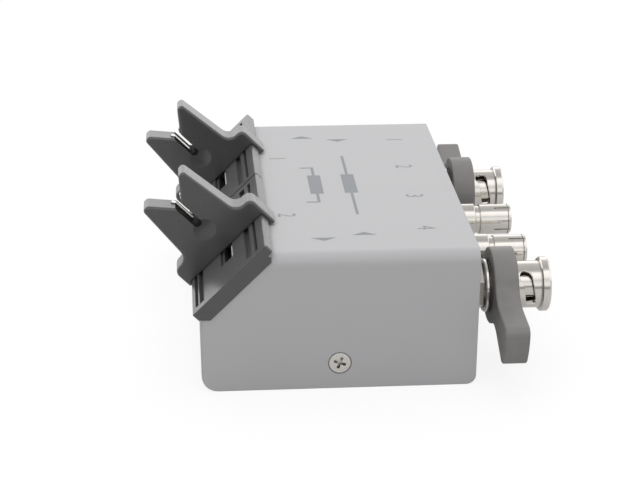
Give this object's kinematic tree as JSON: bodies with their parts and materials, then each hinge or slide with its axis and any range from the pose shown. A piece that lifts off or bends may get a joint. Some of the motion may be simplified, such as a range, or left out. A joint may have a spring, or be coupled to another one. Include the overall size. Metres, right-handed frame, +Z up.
{
  "type": "lcr meter test fixture",
  "caption": "Grey box test fixture that plugs onto an LCR meter by push-in and lever-locked bayonet plugs; V-mouthed contact jaws slide on rails along its sloping front to hold leads.",
  "frame": {"origin": "centre of the flat underside of the housing", "axes": "+X to the rear, along the plugs; +Y across the housing to the jaw on the far side; +Z up"},
  "size_m": [0.0984, 0.116, 0.0484],
  "materials": {
    "housing_paint": "satin light-grey paint with a faint orange-peel",
    "chassis_paint": "satin light-grey paint",
    "screw_nickel": "nickel plate",
    "rail_plastic": "fine moulded grain",
    "jaw_plastic": "fine moulded grain",
    "lever_plastic": "satin moulding",
    "plug_nickel": "bright nickel plate",
    "contact_metal": "bright contact plate",
    "insulator_white": "waxy",
    "pin_gold": "gold flash",
    "board_laminate": "lacquered laminate",
    "lead_jacket": "matt jacket"
  },
  "bodies": {
    "housing": {"cover": "housing_paint", "chassis": "chassis_paint", "cover_screws": "screw_nickel", "rail_low": "rail_plastic", "rail_high": "rail_plastic", "rail_screws": "screw_nickel", "contact_board": "board_laminate", "strip_low_a": "contact_metal", "strip_low_b": "contact_metal", "strip_high_a": "contact_metal", "strip_high_b": "contact_metal", "lock_body_near": "plug_nickel", "lock_body_far": "plug_nickel", "keeper_near": "plug_nickel", "keeper_far": "plug_nickel", "plug_body_near": "plug_nickel", "plug_body_far": "plug_nickel", "insulator_1": "insulator_white", "insulator_2": "insulator_white", "insulator_3": "insulator_white", "insulator_4": "insulator_white", "centre_pin_1": "pin_gold", "centre_pin_2": "pin_gold", "centre_pin_3": "pin_gold", "centre_pin_4": "pin_gold", "panel_washers": "plug_nickel", "panel_nuts": "plug_nickel", "lead_1": "lead_jacket", "lead_2": "lead_jacket", "lead_3": "lead_jacket", "lead_4": "lead_jacket"},
    "jaw_low": {"jaw_low": "jaw_plastic", "blade_low_a": "contact_metal", "blade_low_b": "contact_metal"},
    "jaw_high": {"jaw_high": "jaw_plastic", "blade_high_a": "contact_metal", "blade_high_b": "contact_metal"},
    "lock_near": {"coupling_near": "plug_nickel", "lever_near": "lever_plastic"},
    "lock_far": {"coupling_far": "plug_nickel", "lever_far": "lever_plastic"}
  },
  "joints": [
    {"name": "jaw_low_slide", "type": "slide", "parent": "housing", "child": "jaw_low", "axis": [0, 1, 0], "range_m": [-0.0105, 0.008]},
    {"name": "jaw_high_slide", "type": "slide", "parent": "housing", "child": "jaw_high", "axis": [0, -1, 0], "range_m": [-0.0105, 0.008]},
    {"name": "lock_near_turn", "type": "hinge", "parent": "housing", "child": "lock_near", "pos_m": [0.0414, -0.033, 0.0189], "axis": [1, 0, 0], "range_deg": [-65, 21]},
    {"name": "lock_far_turn", "type": "hinge", "parent": "housing", "child": "lock_far", "pos_m": [0.0414, 0.033, 0.0189], "axis": [1, 0, 0], "range_deg": [-38, 48]}
  ]
}
